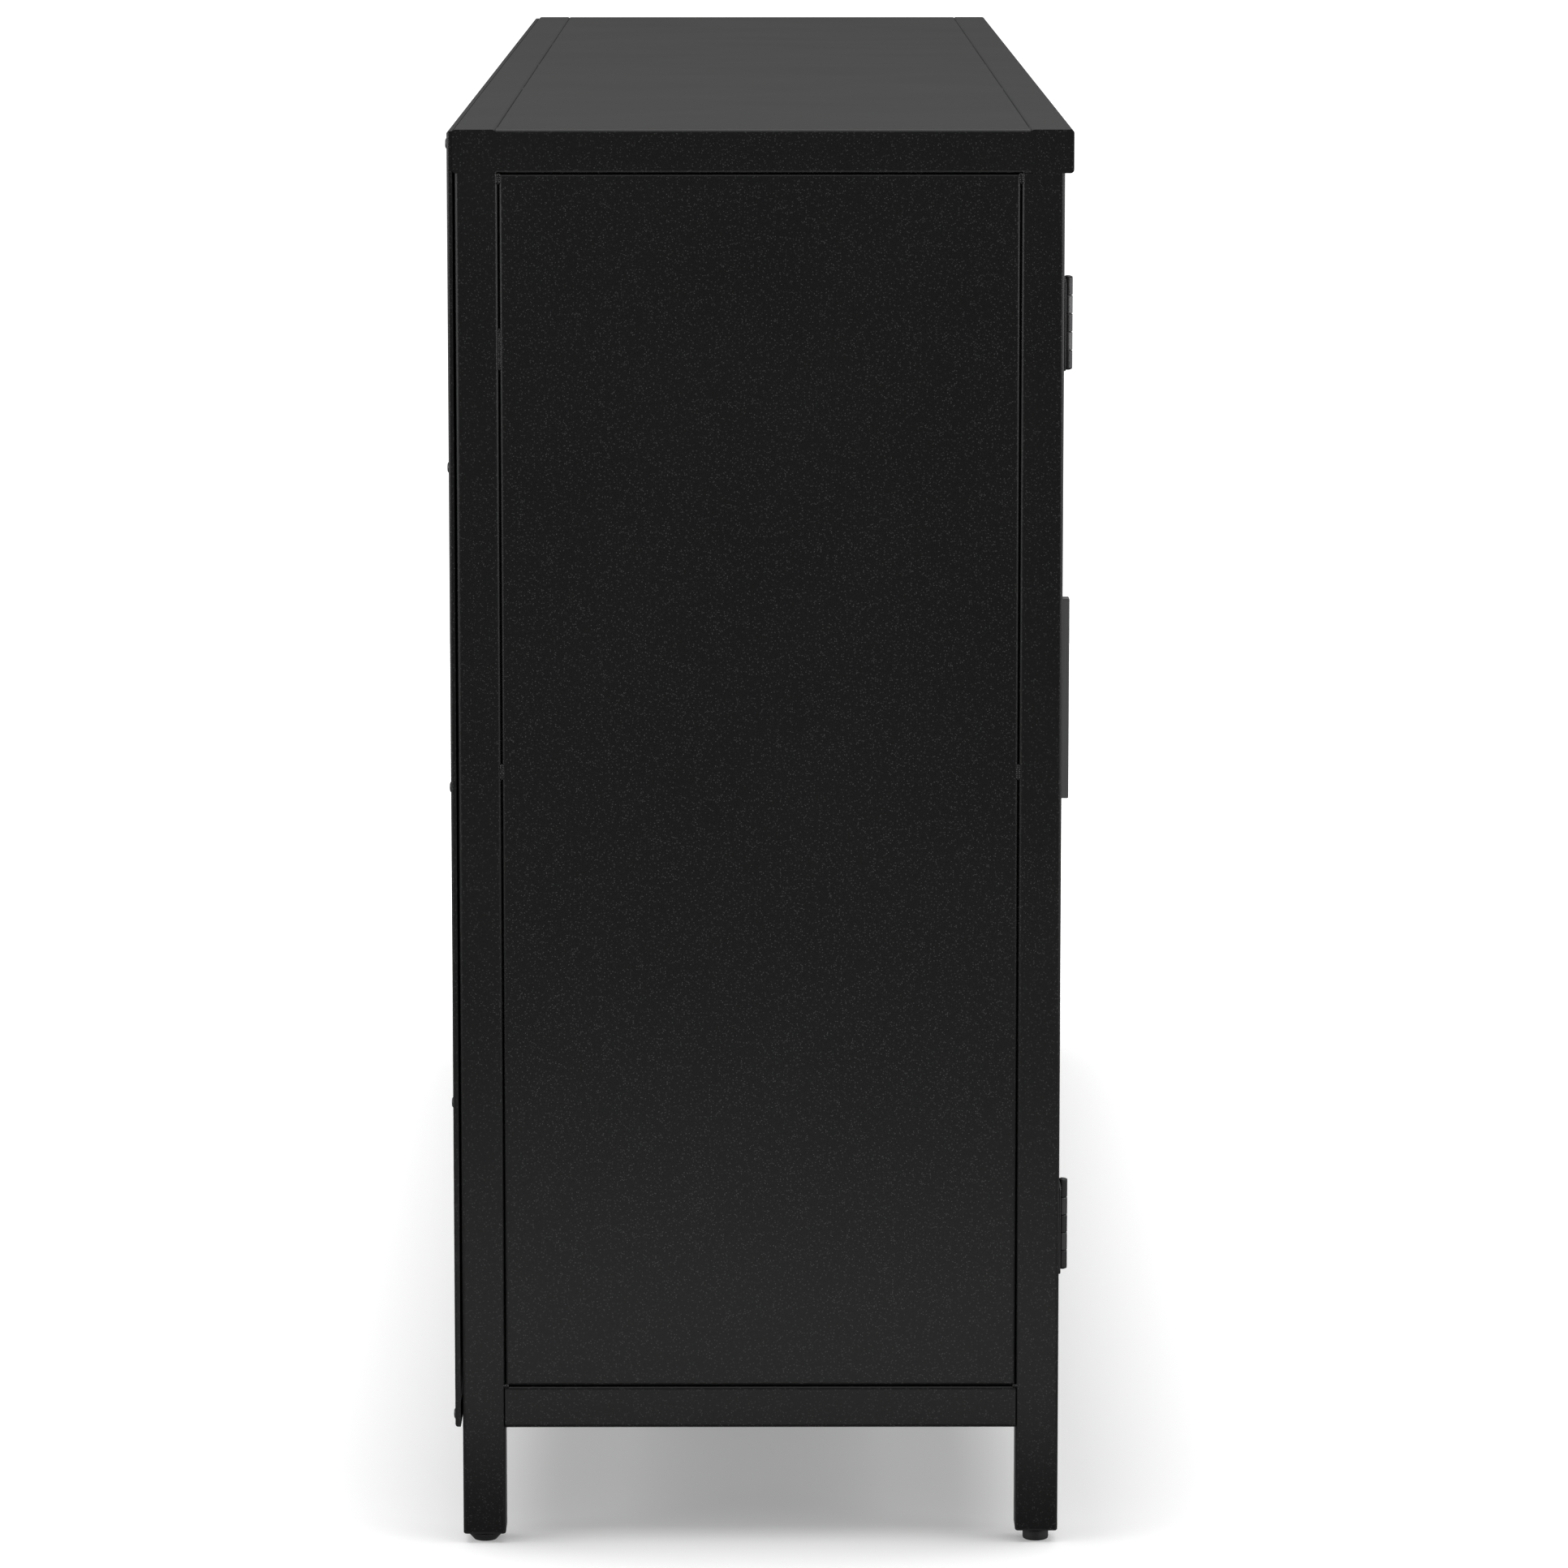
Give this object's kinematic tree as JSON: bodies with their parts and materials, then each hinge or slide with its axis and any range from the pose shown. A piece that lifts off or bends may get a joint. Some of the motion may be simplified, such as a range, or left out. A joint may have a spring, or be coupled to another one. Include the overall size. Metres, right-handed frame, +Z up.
{
  "type": "storage cabinet",
  "caption": "Long, low steel storage cabinet on legs: a hinged door at each end, a stack of drawers between them, flat top, bar handles and levelling feet.",
  "frame": {"origin": "on the floor under the middle of the overall box", "axes": "+X along the cabinet, to the right seen from the front; the doors and drawers face -Y; +Z up"},
  "size_m": [1.64, 0.3824, 0.8445],
  "materials": {
    "frame_paint": "satin black powder coat with fine metallic fleck",
    "panel_paint": "satin black powder coat with fine metallic fleck",
    "handle_metal": "satin gunmetal",
    "hinge_metal": "satin black",
    "screw_metal": "black oxide",
    "runner_steel": "bright zinc plate",
    "foot_plastic": "matt moulded",
    "magnet_case": "matt moulded"
  },
  "bodies": {
    "cabinet": {"post_front_left": "frame_paint", "post_front_right": "frame_paint", "post_back_left": "frame_paint", "post_back_right": "frame_paint", "divider_post_left": "frame_paint", "divider_post_right": "frame_paint", "bottom_rail_front": "frame_paint", "bottom_rail_back": "frame_paint", "bottom_rail_left": "frame_paint", "bottom_rail_right": "frame_paint", "top_rail_front": "frame_paint", "top_rail_back": "frame_paint", "top_rail_left": "frame_paint", "top_rail_right": "frame_paint", "top_cross_bar": "frame_paint", "top_sheet_left": "panel_paint", "top_sheet_right": "panel_paint", "side_panel_left": "panel_paint", "side_panel_right": "panel_paint", "back_panel": "panel_paint", "back_panel_screws": "screw_metal", "floor_panel": "panel_paint", "divider_panel_left": "panel_paint", "divider_panel_right": "panel_paint", "shelf_left": "panel_paint", "shelf_right": "panel_paint", "shelf_bearers": "panel_paint", "magnet_catches": "magnet_case", "leg_plugs": "foot_plastic", "hinge_post_leaves": "hinge_metal", "hinge_pins": "hinge_metal", "runner_channels": "runner_steel"},
    "door_left": {"door_left": "panel_paint", "door_left_hinge_leaves": "hinge_metal", "door_left_handle": "handle_metal"},
    "door_right": {"door_right": "panel_paint", "door_right_hinge_leaves": "hinge_metal", "door_right_handle": "handle_metal"},
    "drawer_1": {"drawer_1_front": "panel_paint", "drawer_1_box": "panel_paint", "drawer_1_slides": "runner_steel", "drawer_1_handle": "handle_metal"},
    "drawer_2": {"drawer_2_front": "panel_paint", "drawer_2_box": "panel_paint", "drawer_2_slides": "runner_steel", "drawer_2_handle": "handle_metal"},
    "drawer_3": {"drawer_3_front": "panel_paint", "drawer_3_box": "panel_paint", "drawer_3_slides": "runner_steel", "drawer_3_handle": "handle_metal"},
    "drawer_4": {"drawer_4_front": "panel_paint", "drawer_4_box": "panel_paint", "drawer_4_slides": "runner_steel", "drawer_4_handle": "handle_metal"},
    "foot_front_left": {"foot_front_left": "foot_plastic"},
    "foot_front_right": {"foot_front_right": "foot_plastic"},
    "foot_back_left": {"foot_back_left": "foot_plastic"},
    "foot_back_right": {"foot_back_right": "foot_plastic"}
  },
  "joints": [
    {"name": "door_left_hinge", "type": "hinge", "parent": "cabinet", "child": "door_left", "pos_m": [-0.7936, -0.17305, 0.45775], "axis": [0, 0, -1], "range_deg": [0, 170]},
    {"name": "door_right_hinge", "type": "hinge", "parent": "cabinet", "child": "door_right", "pos_m": [0.7936, -0.17305, 0.45775], "axis": [0, 0, 1], "range_deg": [0, 170]},
    {"name": "drawer_1_slide", "type": "slide", "parent": "cabinet", "child": "drawer_1", "axis": [0, -1, 0], "range_m": [0, 0.25]},
    {"name": "drawer_2_slide", "type": "slide", "parent": "cabinet", "child": "drawer_2", "axis": [0, -1, 0], "range_m": [0, 0.25]},
    {"name": "drawer_3_slide", "type": "slide", "parent": "cabinet", "child": "drawer_3", "axis": [0, -1, 0], "range_m": [0, 0.25]},
    {"name": "drawer_4_slide", "type": "slide", "parent": "cabinet", "child": "drawer_4", "axis": [0, -1, 0], "range_m": [0, 0.25]},
    {"name": "foot_front_left_screw", "type": "hinge", "parent": "cabinet", "child": "foot_front_left", "pos_m": [-0.8073, -0.15735, 0.02], "axis": [0, 0, 1], "continuous": true},
    {"name": "foot_front_right_screw", "type": "hinge", "parent": "cabinet", "child": "foot_front_right", "pos_m": [0.8073, -0.15735, 0.02], "axis": [0, 0, 1], "continuous": true},
    {"name": "foot_back_left_screw", "type": "hinge", "parent": "cabinet", "child": "foot_back_left", "pos_m": [-0.8073, 0.17285, 0.02], "axis": [0, 0, 1], "continuous": true},
    {"name": "foot_back_right_screw", "type": "hinge", "parent": "cabinet", "child": "foot_back_right", "pos_m": [0.8073, 0.17285, 0.02], "axis": [0, 0, 1], "continuous": true}
  ]
}
